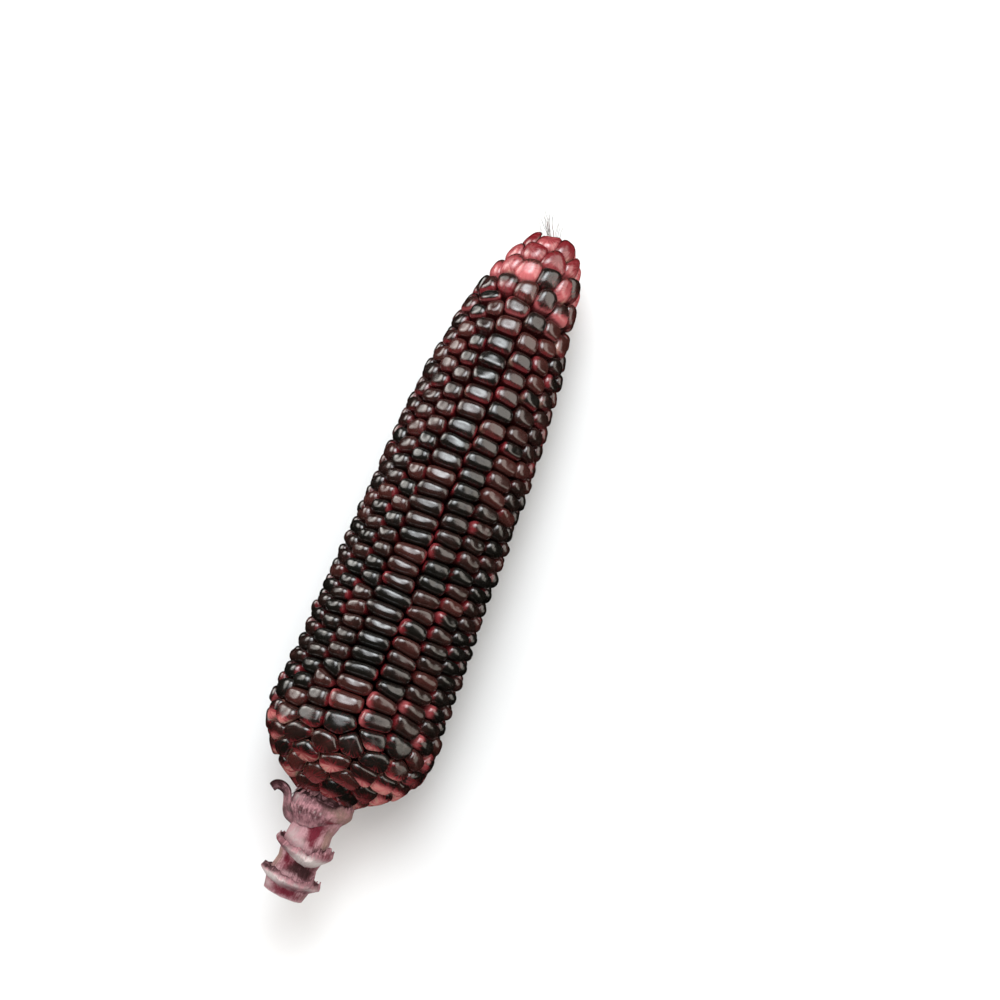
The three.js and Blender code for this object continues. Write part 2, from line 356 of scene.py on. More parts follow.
# ---- where the kernels stand ----
ROW_ENDS = "BMSBMBSMBMSBMBSM"  # whether each row ends beyond the tip, midway or soon
ROW_END_STATION = {"B": 200, "M": 170, "S": 157}
ROW_FADE = (-9, 1)  # over which stations, from its end, a row gives up its width
ROW_FADE_SHARE = 0.98
ROW_WIDTHS = [1.03] * 6 + [0.9, 0.78, 1.17, 1.05, 1.04, 1.04] + [0.97] * 4
ROW_SWAYS = [(0.022, 11), (0.012, 4)]  # radians, and millimetres of station for a radian of the wave
BUTT_ZONE = 22.5
TIP_ZONE = 152
# rings of kernels: distance along the crown line from its end, count, turn as a share of a kernel
BUTT_RINGS = [(0.5, 8, 0.3), (6.3, 12, 0.7), (12, 14, 0.2), (17.4, 16, 0.5), (22.9, 16, 0)]
TIP_RINGS = [(25, 14, 0.2), (18.7, 12, 0.6), (12.5, 9, 0.1), (6.6, 6, 0.7), (1.2, 3, 0.2)]
RING_ZIGZAG = 1.2
# spreads of the kernels' places: shares of a kernel, radians and millimetres
ROW_STEP_SPREAD = 0.09
ROW_ANGLE_SPREAD = 0.012
RING_STEP_SPREAD = 0.12
RING_DISTANCE_SPREAD = 0.8

# stations over which the kernels lose the butt's shape and gain the tip's and the upper half's
BUTT_FADE = (14, 32)
TIP_RISE = (148, 162)
UPPER_RISE = (65, 125)
SETTLING_ROUNDS = 5
SETTLING_SHARES = (0.1, 0.6)

MAX_EDGES = 14
FAR = 60.0
NEIGHBOUR_SPAN = (16, 12)
ROW_MATE_SLOPE = 0.62  # neighbours steeper than this are in the same row
ROW_MATE_SLANT = (0.42, 1)
SIDE_MATE_SLANT = (1, 0.8)
FREE_JUMBLE = 1.4
EDGE_TWIST = 0.06
ROW_GAP = -0.7
KERNEL_GAP = 0.1
HALF_LENGTH = 4.4
HALF_WIDTH_SHARE = 0.62
AROUND = 32
LONG_SHAPE = 1.4
HALVINGS = 26
DIRECTIONS = unit(stack(LONG_SHAPE * np.cos(circle(AROUND)), np.sin(circle(AROUND))))


def row_weight(row, station):
    end = ROW_END_STATION[ROW_ENDS[row]]
    return ROW_WIDTHS[row] * (1 - ROW_FADE_SHARE * rise(station - end, *ROW_FADE))


def row_centre(row, station):
    """A row's angle from straight down, growing towards the ear's left."""
    weights = np.array([row_weight(other, station) for other in range(ROW_COUNT)])
    per_weight = TURN / weights.sum()
    middle = (weights[:row].sum() + weights[row] / 2 - weights[0] / 2) * per_weight
    turned = max(0, (station - TWIST_START) / (LAST_CROWN - TWIST_START))
    return middle + TWIST * turned**TWIST_POWER


def kernel_border(index):
    share = index / KERNELS_PER_ROW
    power = TIP_STRETCH_POWER + 1
    stretched = (share + TIP_STRETCH / power * share**power) / (1 + TIP_STRETCH / power)
    return CROWN_LINE.first + stretched * (CROWN_LINE.last - CROWN_LINE.first)


def row_seeds():
    """The regular rows along the ear, as (angle, distance along the crown line, width)."""
    seeds = []
    for row in range(ROW_COUNT):
        starts = RANDOM.uniform(0, TURN, len(ROW_SWAYS))
        for index in range(KERNELS_PER_ROW + 1):
            middle = index + ROW_PHASES[row] + RANDOM.normal(0, ROW_STEP_SPREAD)
            distance = kernel_border(min(max(middle, 0), KERNELS_PER_ROW))
            station = float(CROWN_LINE.at(distance)[0])
            if BUTT_ZONE < station < TIP_ZONE:
                waves = zip(ROW_SWAYS, starts)
                sway = sum(size * math.sin(station / run + start) for (size, run), start in waves)
                angle = row_centre(row, station) + sway + RANDOM.normal(0, ROW_ANGLE_SPREAD)
                seeds.append((angle, distance, ROW_WIDTHS[row]))
    return seeds


def ring_seeds(end, inwards, rings):
    """Uneven rings of kernels where the rows break up."""
    seeds = []
    for distance, count, start in rings:
        for step in range(count):
            angle = TURN * (step + start + RANDOM.normal(0, RING_STEP_SPREAD)) / count
            zigzag = RING_ZIGZAG * (-1) ** step
            place = end + inwards * distance + zigzag + RANDOM.normal(0, RING_DISTANCE_SPREAD)
            seeds.append((angle, place, 1))
    return seeds


class Kernels:
    """Places and cells of all the kernels; in a cell's plane x is to the ear's left and y to its tip."""

    def __init__(self):
        seeds = row_seeds()
        seeds += ring_seeds(CROWN_LINE.first, 1, BUTT_RINGS)
        seeds += ring_seeds(CROWN_LINE.last, -1, TIP_RINGS)
        self.angle, self.distance, self.width = np.array(seeds).T
        self.count = len(seeds)
        self.twists = RANDOM.normal(0, EDGE_TWIST, (self.count, self.count))
        self.update()
        for _ in range(SETTLING_ROUNDS):
            centre = self.cells()
            self.move(centre * np.clip(self.jumble, *SETTLING_SHARES)[:, None])
        self.recentre(self.cells())

    def update(self):
        self.station, radius, _, _ = CROWN_LINE.at(self.distance)
        self.radius = np.maximum(radius, 4)
        self.butt = fall(self.station, *BUTT_FADE)
        self.tip = rise(self.station, *TIP_RISE)
        self.upper = rise(self.station, *UPPER_RISE) * (1 - self.tip)
        self.jumble = self.butt + self.tip

    def by_zone(self, base, upper=0, butt=0, tip=0):
        """A value for each kernel: a base, and what the ear's upper half, butt and tip add."""
        return base + upper * self.upper + butt * self.butt + tip * self.tip

    def move(self, shift):
        self.angle = self.angle - shift[:, 0] / self.radius
        self.distance = self.distance + shift[:, 1]
        self.update()

    def edge(self, index, other, place):
        """The straight edge between two neighbours, as its normal and its distance."""
        in_line = abs(place[1]) > ROW_MATE_SLOPE * abs(place[0])
        free = min(1, (self.jumble[index] + self.jumble[other]) / FREE_JUMBLE)
        free_slant = (0.8 if self.tip[index] > 0 else 0.6, 1)
        slant = ROW_MATE_SLANT if in_line else SIDE_MATE_SLANT
        x, y = unit(place * slant * (1 - free) + place * free_slant * free)
        twist = self.twists[min(index, other), max(index, other)]
        normal = np.array([x - twist * y, y + twist * x])
        gap = KERNEL_GAP if in_line else ROW_GAP + 0.25 * self.jumble[index]
        gap += free * (0.2 - 0.65 * self.tip[index] - gap)
        wider = 0 if in_line else (self.width[index] - self.width[other]) * ROW_ANGLE * self.radius[index] / 4
        return *normal, normal @ place / 2 + wider - gap / 2

    def edges(self, index):
        """The nearest edges round a kernel, in its own plane, and four for where it has no neighbour."""
        turn = (self.angle - self.angle[index] + math.pi) % TURN - math.pi
        places = np.stack([-turn * self.radius[index], self.distance - self.distance[index]], axis=1)
        near = (np.abs(places) < NEIGHBOUR_SPAN).all(axis=1)
        near[index] = False
        edges = [self.edge(index, other, places[other]) for other in np.flatnonzero(near)]
        edges.sort(key=lambda edge: edge[2])
        reach = HALF_WIDTH_SHARE * ROW_ANGLE * self.radius[index] + 1.5 + 2.5 * self.jumble[index]
        bounds = [(1, 0, reach), (-1, 0, reach), (0, 1, HALF_LENGTH), (0, -1, HALF_LENGTH)]
        return edges[:MAX_EDGES - len(bounds)] + bounds

    def cells(self):
        """Works out each kernel's edges and gives the middle of each cell in its own plane."""
        self.normals = np.zeros((self.count, MAX_EDGES, 2))
        self.reaches = np.full((self.count, MAX_EDGES), FAR)
        for index in range(self.count):
            edges = np.array(self.edges(index))
            self.normals[index, :len(edges)] = edges[:, :2]
            self.reaches[index, :len(edges)] = edges[:, 2]
        self.softness = self.by_zone(1.3, butt=0.9, tip=0.3)
        points = self.outline(np.zeros(self.count))
        return (points.max(axis=1) + points.min(axis=1)) / 2

    def recentre(self, centre):
        shift = np.einsum("kec,kc->ke", self.normals, centre)
        self.reaches = np.where(self.reaches < FAR, self.reaches - shift, self.reaches)
        self.move(centre)

    def clearance(self, points):
        """Soft distance of points (kernel, point, 2) inside their kernel's edges."""
        clear = self.reaches[:, :, None] - np.einsum("kec,kdc->ked", self.normals, points)
        softness = self.softness[:, None, None]
        return -np.log(np.exp(-softness * clear).sum(axis=1)) / softness[:, :, 0]

    def outline(self, level):
        """Points round each kernel where the soft distance to its edges falls to level."""
        low = np.zeros((self.count, AROUND))
        high = np.full_like(low, 12)
        for _ in range(HALVINGS):
            middle = (low + high) / 2
            inside = self.clearance(DIRECTIONS * middle[:, :, None]) > level[:, None]
            low = np.where(inside, middle, low)
            high = np.where(inside, high, middle)
        return DIRECTIONS * ((low + high) / 2)[:, :, None]


# ---- the shape of a kernel ----
CORE_SHARES = [0.35, 0.7]
SHOULDER_SHARES = [0.16, 0.32, 0.48, 0.63, 0.77, 0.88, 0.96, 1]
WALL_SHARES = [0.05, 0.14, 0.3, 0.6, 0.95]
WALL_TAPER = 0.32
ROOT_LIFT = 0.3
DEEPEST_SHOULDER = 2.3
DENTS = (0.1, 0.5)
DENT_HALF_WIDTH = 0.36
DENT_RISE = (-0.7, 0.4)
CREASE_SPREAD = 0.16
CREASE_WAVE = 3.4
TILT_SPREAD = (0.035, 0.05)
SIDE_DROP = 0.45
LIFT_SPREAD = 0.18
LAST_DROP = 2.2
LAST_STATIONS = (173, 178)
FLOOR_SECTOR = 40 * DEGREE
FLOOR_GAP = 0.01 * MM


def per_kernel(values):
    """One value for each kernel, shaped to meet the kernel's rings of points."""
    return values[:, None, None]


def over_crowns(distance, angle, height):
    """A point above the crown line."""
    station, radius, lean, out = CROWN_LINE.at(distance)
    return around_axis(angle, radius + out * height, station + lean * height)


def root_point(distance, angle):
    share = (CROWN_LINE.at(distance)[0] - FIRST_CROWN) / (LAST_CROWN - FIRST_CROWN)
    root = ROOT_START + share * (ROOT_END - ROOT_START)
    return around_axis(angle, cob_radius(root) + ROOT_LIFT, root)


def crown_rings(kernels, fillet):
    """Rings of points over every crown, in the kernel's plane, and their shares of the shoulder."""
    rings = [kernels.outline(fillet * (1 - share)) for share in SHOULDER_SHARES]
    rings = np.stack([rings[0] * share for share in CORE_SHARES] + rings, axis=1)
    clearance = kernels.clearance(rings.reshape(kernels.count, -1, 2))
    return rings, np.clip(1 - clearance / fillet[:, None], 0, 1).reshape(rings.shape[:3])


def shape_crowns(kernels):
    """Rings of points over every crown, the same as shares of it, the shoulder, heights and dents."""
    middle = kernels.clearance(np.zeros((kernels.count, 1, 2)))[:, 0]
    fillet = middle * kernels.by_zone(0.98, upper=-0.1, butt=-0.3, tip=-0.15)
    drop = np.minimum(fillet * 1.4, DEEPEST_SHOULDER) * kernels.by_zone(1, upper=-0.15, butt=-0.2, tip=-0.3)
    power = kernels.by_zone(1.5, upper=0.7, butt=1)
    rings, shoulder = crown_rings(kernels, fillet)
    local = rings / np.abs(rings[:, -1]).max(axis=1)[:, None, None, :]
    height = -per_kernel(drop) * (1 - np.sqrt(1 - shoulder ** per_kernel(power)))
    dent = RANDOM.uniform(*DENTS, kernels.count) * (1 - 0.6 * kernels.jumble) * (1 - 0.6 * kernels.upper)
    hollow = np.exp(-((local[..., 0] / DENT_HALF_WIDTH) ** 2)) * rise(local[..., 1], *DENT_RISE)
    crease = per_kernel(RANDOM.normal(0, CREASE_SPREAD, kernels.count))
    crease = crease * np.sin(CREASE_WAVE * local[..., 0] + per_kernel(RANDOM.uniform(0, TURN, kernels.count)))
    tilt = RANDOM.normal(0, 1, (kernels.count, 2)) * TILT_SPREAD
    tilt[:, 1] += kernels.by_zone(0.14, upper=-0.17, butt=-0.2, tip=0.1)
    height += np.einsum("krdc,kc->krd", rings, tilt) + crease * local[..., 1] - per_kernel(dent) * hollow
    height -= SIDE_DROP * (1 - 0.5 * per_kernel(kernels.upper)) * local[..., 0] ** 2
    return rings, local, shoulder, height, dent


def lift_crowns(kernels):
    """How far each kernel stands proud of the crown line; those under the ear never do."""
    lift = RANDOM.normal(0, LIFT_SPREAD, kernels.count) + 0.5 * kernels.tip
    lift -= LAST_DROP * rise(kernels.station, *LAST_STATIONS)
    facing_down = np.cos(kernels.angle) > math.cos(FLOOR_SECTOR)
    return np.where(facing_down, np.minimum(lift, 0), lift)


def kernel_walls(rim, root):
    """Rings of points from a crown's rim in to the kernel's root."""
    middle = rim.mean(axis=1, keepdims=True)
    walls = []
    for share in WALL_SHARES:
        walls.append((rim - middle) * (1 - WALL_TAPER * share) + middle + (root - middle) * share)
    return np.stack(walls, axis=1)


def shape_kernels(kernels):
    """Every kernel's closed surface, its rings as shares of the crown, and their depths.

    Depth is 0 in the middle of a crown, 1 at its rim and 2 at the root.
    """
    rings, local, shoulder, height, dent = shape_crowns(kernels)
    lift = lift_crowns(kernels)
    distance = per_kernel(kernels.distance) + rings[..., 1]
    angle = per_kernel(kernels.angle) - rings[..., 0] / per_kernel(kernels.radius)
    top = over_crowns(distance, angle, height + per_kernel(lift))
    walls = kernel_walls(top[:, -1], root_point(kernels.distance, kernels.angle)[:, None, :])
    surface = close_tube(np.concatenate([top, walls], axis=1))
    surface[:, -2] = over_crowns(kernels.distance, kernels.angle, lift - dent * rise(0, *DENT_RISE))
    local = np.concatenate([local, np.repeat(local[:, -1:], len(WALL_SHARES), axis=1)], axis=1)
    below = 1 + np.array(WALL_SHARES)[:, None] + np.zeros_like(walls[..., 0])
    return surface, local, np.concatenate([shoulder, below], axis=1)


# ---- the colouring of a kernel ----
CHANCE_SHIFT = 5
UPPER_HALF = (85, 125)
LOW_FADE = (22, 46)
BLUSH_RISE = (128, 156)
OPEN_BUTT_FADE = (16, 25)
FLUSHED_TIP_RISE = (154, 163)
FLUSHED_TIP_SHIFT = 9
# painted shade on the tip: over this side the pink flush is dimmed
SHADY_SIDE = (5, 50)  # degrees from straight up to the left
# painted shade in the clefts: where it starts and ends in depth, how much earlier it starts in the upper
# half, and the stations near the tip's roots over which it fades
PAINTED_SHADE_START = (1, 1.14)
PAINTED_SHADE_SHIFT = -0.12
TIP_ROOTS_SHADE_FADE = (167, 173)
GRAIN_RADIUS = 2.2
GRAIN_STEP = 3.7
BROWN_SPREAD = 0.3


class StainAndPaintedLight:
    """Where the dark pigment is missing, and how pale or creamy the kernels are there; some of it is painted
    light and shade.
    """

    def __init__(self, kernels, local, depth):
        chances = RANDOM.uniform(0, 1, (6, kernels.count, 1, 1))
        self.shift, self.strength, self.side, self.rarity, self.paleness, self.creaminess = chances
        self.station = per_kernel(kernels.station) + CHANCE_SHIFT * (self.shift - 0.5)
        self.x, self.y, self.depth = -local[..., 0], local[..., 1], depth
        self.upper = rise(self.station, *UPPER_HALF)
        self.below = rise(depth, 1.02, 1.25)
        # painted shade: 1, and down to 0.6 on the ear's left side, where the tip's flush is dimmed
        self.painted_light_side = 1 - 0.4 * rise(-to_right(per_kernel(kernels.angle)), *SHADY_SIDE)
        self.bared = self.pale = self.cream = np.zeros_like(depth)

    def raise_to(self, bared, pale=0, cream=0):
        self.bared = np.maximum(self.bared, bared)
        self.pale = np.maximum(self.pale, pale)
        self.cream = np.maximum(self.cream, cream)

    def colour_rows(self):
        """Crimson flanks, a few pale spots and, low on the ear, a few pale edges towards the butt."""
        x, y = self.x, self.y
        low = fall(self.station, *LOW_FADE)
        left = rise(-x, 0.7, 1.05) * (0.25 + self.strength**2)
        right = rise(x, 0.72, 1) * (0.25 + self.side**2)
        self.raise_to(0.85 * np.maximum(left, right) + 0.3 * self.below, 0.12 + 0.1 * self.upper)
        spot = (self.rarity > 0.94 - 0.1 * low) * rise(-x + 0.3 * np.abs(y), 0.4, 1.2)
        self.raise_to(spot, (0.3 + 0.3 * low) * spot)
        edge = low * (self.shift > 0.8) * rise(self.depth, 0.7, 0.95) * rise(-y + 0.4 * np.abs(x), 0, 0.6)
        self.raise_to(0.8 * edge, 0.45 * edge)

    def colour_upper_half(self):
        """A bared corner or flank on each crown, its pink dimmed towards the rim by painted shade, and a
        cream left side on some that is partly a pale flank and partly painted light.
        """
        x, y = self.x, self.y
        flanks = np.maximum(rise(-x, 0.45, 1) * self.side, rise(x, 0.45, 1) * (1 - self.side))
        corner = self.upper * np.maximum(rise(-y, 0.2, 1.1), flanks) * (0.15 + 0.7 * self.strength)
        pale = 0.12 + 0.3 * self.paleness + 0.4 * (self.paleness > 0.75)
        # the cream on the left side is partly the kernel's own pale flank and partly painted light on the
        # flank that faces the left lamps
        cream = 0.5 * (self.creaminess > 0.65) * rise(-x - 0.4 * y, 0.6, 1.2) * (1 - self.below)
        self.raise_to(corner, corner * pale, self.upper * cream)
        # painted shade: the pink dims towards the rim and the cleft beside it
        self.pale = self.pale * (1 - 0.5 * rise(self.depth, 0.72, 1) * self.upper)

    def blush_near_tip(self):
        blush = rise(self.station, *BLUSH_RISE) * rise(self.depth, 0.35, 0.9) * rise(-self.y, -0.9, 0.4)
        pale = fall(self.depth, 0.95, 1.05) * (0.1 + 0.6 * self.paleness)
        self.raise_to(blush * (0.3 + 0.6 * self.strength), blush * pale)

    def open_butt_faces(self):
        """Pale faces towards the butt, and cream rims, partly the kernels' pale edges and partly a painted
        highlight where the rounded edges catch the light.
        """
        butt = fall(self.station, *OPEN_BUTT_FADE)
        start = -0.9 + 0.045 * np.clip(self.station, 0, 20) + (self.side - 0.5)
        face = rise(-self.y - 0.25 * self.x**2, start, start + 1.2)
        face = face * (0.4 + 0.6 * rise(self.paleness, 0.1, 0.4))
        # the cream rim is partly the kernel's own pale edge and partly a painted highlight along its rounded
        # edge
        rim = rise(self.depth, 0.9, 1) * fall(self.depth, 1, 1.06) * (0.3 + 0.7 * self.rarity)
        bared = np.maximum(np.minimum(1, 1.4 * face), 0.8 * rim)
        pale = face * (0.35 + 0.65 * rise(self.creaminess, 0, 0.6))
        self.raise_to(butt * bared, butt * pale, butt * (0.3 * face + 0.7 * rim))

    def flush_tip(self):
        """Kernels flushed red to pink, the first of them still dark towards the apex."""
        x, y = self.x, self.y
        tip = rise(self.station + FLUSHED_TIP_SHIFT * (self.rarity - 0.5), *FLUSHED_TIP_RISE)
        start = 0.1 + 0.6 * self.side - 0.9 * fall(self.station, 155, 167)
        # painted shade: each tip kernel keeps a dark band at its rim, strongest on the apex side, where the
        # crease under the next kernel lies in shade
        crease_shade = rise(self.depth, 0.9, 1) * (0.3 + 0.7 * rise(y, -0.6, 0.6))
        bared = fall(y - 0.2 * x, start, start + 0.9) * (1 - 0.8 * crease_shade)
        # the flush is dimmed on the ear's left side as painted shade
        flush = self.painted_light_side * (0.8 * self.paleness**1.5 + 0.35 * rise(-y + 0.3 * x, -0.2, 0.8))
        # the cream on the lower side of a tip kernel, towards the ear's right, is partly its own pale base
        # and partly a painted highlight
        cream = self.creaminess**2 * rise(-y + 0.5 * x, 0.3, 1.5)
        self.bared = np.maximum(self.bared * (1 - tip), tip * bared)
        self.pale = self.pale * (1 - tip) + tip * flush
        self.cream = self.cream * (1 - tip) + tip * cream

    def vectors(self):
        """Pigment, paleness and cream, each between 0 and 1."""
        self.colour_rows()
        self.colour_upper_half()
        self.blush_near_tip()
        self.open_butt_faces()
        self.flush_tip()
        return np.clip(stack(1 - self.bared, self.pale, self.cream), 0, 1)


def kernel_grain(kernels, depth):
    """Where the streaks' noise is read; they run from the crown's middle down its walls."""
    x, y = GRAIN_RADIUS * DIRECTIONS.T
    return stack(x, y, GRAIN_STEP * per_kernel(np.arange(kernels.count)) + depth / 2)


# Painted shade on the kernels' walls and in the clefts between them: darkest between kernels of one row,
# lighter between rows, fading near the tip's roots.
def painted_cleft_shade(kernels, local, depth):
    upper = per_kernel(rise(kernels.station, *UPPER_HALF) * (1 - kernels.tip))
    start, end = (edge + PAINTED_SHADE_SHIFT * upper for edge in PAINTED_SHADE_START)
    flank = 0.5 + 0.3 * per_kernel(kernels.jumble) + 0.15 * upper
    painted_shade = rise(depth, start, end) * (flank + (0.97 - flank) * rise(np.abs(local[..., 1]), 0.5, 0.9))
    return painted_shade * (1 - 0.55 * per_kernel(rise(kernels.station, *TIP_ROOTS_SHADE_FADE)))


def make_kernels():
    kernels = Kernels()
    surface, local, depth = shape_kernels(kernels)
    stain_and_painted_light = StainAndPaintedLight(kernels, local, depth).vectors()
    brown = 0.25 + 0.25 * rise(kernels.station, 70, 150) + RANDOM.normal(0, BROWN_SPREAD, kernels.count)
    fan = kernels.by_zone(0.35, butt=0.75, tip=0.45)
    look = stack(painted_cleft_shade(kernels, local, depth), per_kernel(brown), per_kernel(fan))
    grain = kernel_grain(kernels, depth)
    attributes = {"stain_and_painted_light": close_tube(stain_and_painted_light), "look": close_tube(look), "grain": close_tube(grain)}
    row_of = np.round((kernels.angle % TURN) / ROW_ANGLE).astype(int) % ROW_COUNT
    material = kernel_paint()
    for row in range(ROW_COUNT):
        members = np.flatnonzero(row_of == row)
        faces = tube_faces(depth.shape[1], AROUND, len(members))
        part = {key: values[members].reshape(-1, 3) for key, values in attributes.items()}
        piece = add_mesh(f"kernels_{row + 1:02d}", surface[members], faces, part, material)
        for vertex in piece.data.vertices:
            vertex.co.z = max(vertex.co.z, FLOOR_GAP)
        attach(piece, "root")
        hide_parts(f"kernel_row_{row + 1:02d}")


make_kernels()

# ---- cob and shank ----
SHANK_AROUND = 150
SHANK_END = SHANK_PROFILE[-1][0]
SHANK_STEP = 0.25
COB_STEPS = 40
CUT_RINGS = [0.2, 0.4, 0.6, 0.8, 0.93, 0.99]
CUT_RELIEF = 0.15
CUT_DRIFT = 20
CUT_HOLLOW = 0.5
WHITE = (0.66, 0.58, 0.56, 1)
BLUSH = (0.46, 0.26, 0.28, 1)
MAUVE = (0.22, 0.08, 0.1, 1)
WINE = (0.14, 0.012, 0.025, 1)
DARK_PLUM = (0.028, 0.007, 0.008, 1)
TAN = (0.29, 0.175, 0.14, 1)
HUSK_ROSE = (0.42, 0.21, 0.23, 1)
HUSK_SHADE = (0.09, 0.025, 0.036, 1)
# patches of each colour: angle from straight up to the right, half width, millimetres behind the butt, half
# length, strength
SHANK_PATCHES = {
    "white": [(-45, 42, 12, 2.4, 0.5), (-5, 32, 14.2, 2, 0.4), (150, 60, 12.5, 2.5, 0.6),
              (-5, 24, 22.9, 1, 0.5), (-50, 30, 28.2, 1.2, 0.6), (0, 400, 30, 0.25, 0.7)],
    # wine: the shank's own wine-red flush, partly painted shade on the right just behind the upper and middle
    # stubs' bases
    "wine": [(19, 23, 9.6, 3.2, 1.6), (22, 9, 12.8, 2.2, 0.6), (48, 4, 12.5, 2.5, 0.7),
             (-24, 20, 20, 2.8, 1.1), (25, 42, 20.6, 2.4, 1.2), (150, 50, 20.5, 1.5, 0.8),
             (10, 46, 28.2, 1.6, 1.3)],
    "tan": [(62, 22, 11.5, 4.5, 1.1), (-68, 34, 20, 4, 1.3), (90, 40, 28.5, 1.5, 0.6)],
    # painted shade: the dark patches darken the shank under and beside the middle husk stub
    "dark": [(40, 6, 14.5, 1.2, 0.7), (26, 38, 21, 2.1, 1.8)],
}
TONES = ("white", "dark", "tan")
PROFILE_STEP = 0.1
PROFILE_SMOOTHING = 13
FIBRE_RADIUS = 7
FIBRE_RUN = 0.12


def ripple(angle, cycles, seed, station=0, drift=0):
    """Smooth, closed relief round the shank between -1 and 1."""
    dice = np.random.default_rng(seed)
    relief = 0
    for count in cycles:
        relief = relief + np.sin(count * angle + drift * station * dice.normal() + dice.uniform(0, TURN))
    return relief / len(cycles)


def shank_radius(behind):
    """The shank's profile through its rounded nodes and necks."""
    places = np.array([(0, cob_radius(0))] + SHANK_PROFILE)
    fine = np.arange(0, SHANK_END + PROFILE_STEP, PROFILE_STEP)
    coarse = np.interp(fine, places[:, 0], places[:, 1])
    weights = np.hanning(PROFILE_SMOOTHING)
    padded = np.pad(coarse, PROFILE_SMOOTHING // 2, mode="edge")
    return np.interp(behind, fine, np.convolve(padded, weights / weights.sum(), "valid"))


def shank_surface(angle, behind):
    """The shank's radius with its fine ribs and its gentle unevenness."""
    ribs = 0.16 * ripple(angle, (17, 23, 31, 38), 11, -behind, 0.08)
    return shank_radius(behind) + ribs + 0.22 * ripple(angle, (2, 3, 5), 12, -behind, 0.15)


def fibre_place(angle, station):
    return stack(FIBRE_RADIUS * np.cos(angle), FIBRE_RADIUS * np.sin(angle), FIBRE_RUN * station)


def patches(angle, behind, areas):
    """How strongly one colour shows, from all its patches."""
    total = np.zeros_like(angle)
    for middle, half_width, place, half_length, strength in areas:
        aside = (to_right(angle) - middle + 180) % 360 - 180
        total += strength * np.exp(-((aside / half_width) ** 2) - ((behind - place) / half_length) ** 2)
    return total


def tones(angle, behind, areas):
    return stack(*(patches(angle, behind, areas.get(kind, ())) for kind in TONES))


def husk_paint(name, base, shade):
    """Fibrous husk: white bands, wine-red flushes that are in places partly painted shade, dark torn edges,
    dark patches that are in places painted shade, and tan patches over a mottled base.
    """
    paint = Paint(name, {"Roughness": 0.6, "IOR": 1.45, "Specular IOR Level": 0.2})
    white, dark, tan = paint.parts("tone")
    wine = paint.attribute("wine")
    fibres = paint.noise(paint.attribute("fibre", "Vector"), scale=2.4, detail=4, roughness=0.65)
    threads = paint.math("SUBTRACT", fibres, 0.5)
    blotches = paint.math("SUBTRACT", paint.noise(paint.place(), scale=380, detail=5, roughness=0.7), 0.5)
    uneven = paint.add(threads, blotches, share=1.9)
    colour = paint.mix(paint.ramp(uneven, -0.38, 0.38), base, shade)
    for part, patch_colour in ((tan, TAN), (white, WHITE), (wine, WINE), (dark, DARK_PLUM)):
        share = paint.ramp(paint.add(part, uneven, share=1.1), 0.05, 1.35)
        colour = paint.mix(share, colour, patch_colour)
    stray = paint.noise(paint.attribute("fibre", "Vector"), scale=4.3, detail=3, roughness=0.7)
    paint.set("Base Color", paint.mix(paint.ramp(stray, 0.52, 0.75, end=0.4), colour, MAUVE))
    paint.bump(paint.add(fibres, blotches, share=0.8), distance=0.6 * MM)
    return paint.material


def cut_face(rim, angle):
    """Rings of the shank's rough cut end, from near its middle out to near its rim."""
    centre = rim.mean(axis=0)
    share = np.array(CUT_RINGS)[:, None]
    rings = centre + (rim - centre) * share[..., None]
    relief = CUT_RELIEF * ripple(angle, (2, 5, 9), 13, CUT_DRIFT * share, 1) * share
    rings[..., 1] += relief + CUT_HOLLOW * (1 - share) ** 2
    return rings


def make_cob():
    stations = np.concatenate([
        np.full(len(CUT_RINGS), -SHANK_END),
        np.arange(-SHANK_END, 0, SHANK_STEP),
        COB_TIP_END * np.sin(np.linspace(0, math.pi / 2, COB_STEPS, endpoint=False)),
    ])
    angle, station = np.meshgrid(circle(SHANK_AROUND), stations)
    radius = np.where(station < 0, shank_surface(angle, -station), cob_radius(station))
    rings = around_axis(angle, radius, station)
    rings[:len(CUT_RINGS)] = cut_face(rings[0], angle[0])
    tone = tones(angle, -station, SHANK_PATCHES)
    # painted shade: the cob and the shank's last millimetre by the butt are darkened, where they lie under
    # the first kernels
    tone[..., 1] += 1.2 * rise(station, -2.5, -1)
    wine = patches(angle, -station, SHANK_PATCHES["wine"])
    attributes = {
        "tone": close_tube(tone),
        "wine": close_tube(wine[..., None])[:, 0],
        "fibre": close_tube(fibre_place(angle, station)),
    }
    faces = tube_faces(len(rings), SHANK_AROUND)
    material = husk_paint("shank", BLUSH, MAUVE)
    piece = add_mesh("cob_and_shank", bend_shank(close_tube(rings)), faces, attributes, material)
    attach(piece, "root")
    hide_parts("cob_with_shank")


# ---- torn husk ----
HUSK_THICKNESS = 0.9
STUB_AROUND = 240
STUB_STEPS = 20
TORN_THICKNESS = 0.3
ROOT_DEPTH = 0.2  # how far a sheath's attached edge reaches into the shank
